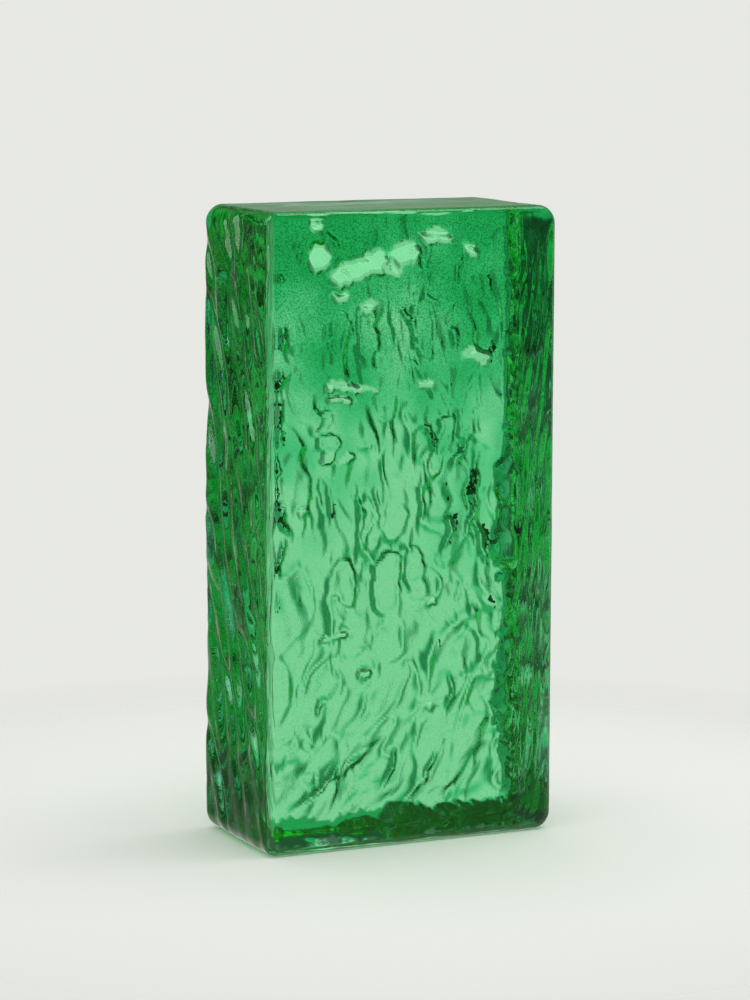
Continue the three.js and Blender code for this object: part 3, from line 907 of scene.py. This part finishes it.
# %% Directions in the room
world = bpy.data.worlds.new("studio")
bpy.context.scene.world = world
world.use_nodes = True
room_tree = world.node_tree
room_tree.nodes.clear()
BACKDROP_AXIS = 26.0
axes = add_node(room_tree, "SeparateXYZ")
feed(axes.inputs[0], add_node(room_tree, "TexCoord").outputs["Generated"])
rise = calculate(room_tree, "DEGREES", calculate(room_tree, "ARCSINE", axes.outputs["Z"]))
compass = calculate(room_tree, "ARCTAN2", axes.outputs["X"], axes.outputs["Y"])
compass = calculate(room_tree, "DEGREES", compass)
turn = calculate(
    room_tree, "WRAP", calculate(room_tree, "SUBTRACT", compass, BACKDROP_AXIS), 180.0, -180.0)
print("backdrop stands towards", BACKDROP_AXIS, "degrees")


# %% Brightness along a direction
def curve(angle, points):
    low, high = points[0][0], points[-1][0]
    above = calculate(room_tree, "SUBTRACT", angle, low)
    node = add_node(room_tree, "FloatCurve")
    feed(node.inputs["Value"], calculate(room_tree, "DIVIDE", above, high - low, clamp=True))
    line = node.mapping.curves[0]
    while len(line.points) < len(points):
        line.points.new(0.5, 0.5)
    for point, (at, brightness) in zip(line.points, points):
        point.location = ((at - low) / (high - low), brightness)
        point.handle_type = "AUTO_CLAMPED"
    node.mapping.update()
    return node.outputs["Value"]


upwards = curve(rise, [
    (-40, 0.50), (-27, 0.62), (-20, 0.85), (-16, 1.0), (-1, 1.0), (1.5, 0.80), (4, 0.55),
    (8.5, 0.50), (12, 0.24), (20, 0.22), (32, 0.34), (42, 0.50), (60, 0.15)])
sideways = curve(turn, [
    (-180, 1.0), (-106, 1.0), (-98, 0.50), (-90, 0.12), (-40, 0.12), (-35, 0.40), (-31, 0.65),
    (-21, 0.65), (-16, 0.46), (-12, 0.55), (-9, 0.80), (-6, 1.0), (6, 1.0), (9, 0.82), (14, 0.60),
    (19, 0.64), (25, 0.94), (34, 0.94), (40, 0.12), (52, 0.08), (57, 0.80), (61, 1.0), (80, 1.0),
    (86, 0.50), (92, 0.08), (137, 0.10), (146, 1.0), (180, 1.0)])
backdrop = calculate(room_tree, "MULTIPLY", upwards, sideways)
print("room nodes so far:", len(room_tree.nodes))


# %% Floor and right wall as the glass sees them
near_floor = curve(rise, [
    (-90, 0.60), (-30, 0.90), (-18, 0.55), (-13, 0.30), (-9, 0.18), (-6, 0.10), (0, 0.04), (90, 0.04)])
right_wall = calculate(
    room_tree, "MULTIPLY",
    curve(compass, [(-180, 0.0), (70, 0.0), (84, 1.0), (140, 1.0), (155, 0.0), (180, 0.0)]),
    curve(rise, [(-90, 0.9), (-20, 0.9), (-13, 0.72), (-9, 0.25), (-6, 0.07), (0, 0.03), (90, 0.03)]))
brightness = calculate(
    room_tree, "MAXIMUM", calculate(room_tree, "MAXIMUM", backdrop, near_floor), right_wall)
print("room nodes with floor and wall:", len(room_tree.nodes))

# %% [markdown]
# The floor scatters light from everywhere, so it gets an even light of its own. The camera sees
# the backdrop's colour wherever it looks, which keeps the background plain from all sides. The
# glass sees the same colour, but dimmer where the screens stand.

# %% Room light
def plain_light(strength, colour=PALE):
    node = add_node(room_tree, "Background")
    feed(node.inputs["Color"], colour)
    feed(node.inputs["Strength"], strength)
    return node.outputs["Background"]


def choose(share, first_light, second_light):
    node = add_node(room_tree, "MixShader")
    feed(node.inputs["Fac"], share)
    feed(node.inputs[1], first_light)
    feed(node.inputs[2], second_light)
    return node.outputs["Shader"]


ray = add_node(room_tree, "LightPath").outputs
from_floor = calculate(room_tree, "GREATER_THAN", ray["Diffuse Depth"], 0.5)
lighting = choose(from_floor, plain_light(brightness), plain_light(1.02, (1, 1, 1, 1)))
room_output = add_node(room_tree, "OutputWorld")
feed(room_output.inputs["Surface"], choose(ray["Is Camera Ray"], lighting, plain_light(1.0)))
print("room colour:", PALE[:3])

# %% [markdown]
# ## Lamps
#
# Three white soft boxes light the block. One hangs overhead and gives the soft shadow. One on the
# left draws pale streaks on the folds of the side. A long low one behind the block is what the
# shelves show.

# %% Lamps
def softbox(name, turn, rise, distance, size, brightness):
    turn, rise = math.radians(turn), math.radians(rise)
    centre = Vector((0, 0, 0.12))
    away = Vector((
        math.sin(turn) * math.cos(rise), math.cos(turn) * math.cos(rise), math.sin(rise)))
    lamp = bpy.data.lights.new(name, "AREA")
    lamp.shape = "RECTANGLE"
    lamp.size, lamp.size_y = size
    lamp.energy = brightness * math.pi * size[0] * size[1]
    light = bpy.data.objects.new(name, lamp)
    light.matrix_world = (
        Matrix.Translation(centre + away * distance)
        @ away.to_track_quat("Z", "Y").to_matrix().to_4x4())
    light.visible_camera = False
    bpy.context.collection.objects.link(light)
    return light


overhead = softbox("overhead", 98, 64, 1.5, (0.7, 0.7), 2.1)
left_strip = softbox("left_strip", -62, 24, 1.5, (1.1, 1.0), 1.8)
left_strip.visible_diffuse = False
left_strip.visible_transmission = False
back_strip = softbox("back_strip", 26, 4.6, 8.0, (5.2, 0.56), 0.55)
back_strip.visible_diffuse = False

# %% [markdown]
# Light meets many walls inside a block of glass, so it needs more bounces than a solid object
# does. The clamp keeps a few very bright paths from leaving white specks.

# %% Render settings
scene = bpy.context.scene
scene.view_settings.view_transform = "Standard"
scene.cycles.max_bounces = 24
scene.cycles.glossy_bounces = 16
scene.cycles.transmission_bounces = 24
scene.cycles.sample_clamp_indirect = 10.0
print("light bounces:", scene.cycles.max_bounces)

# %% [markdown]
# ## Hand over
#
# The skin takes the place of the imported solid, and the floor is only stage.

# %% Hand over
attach(block, "root")
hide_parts("glass_block")
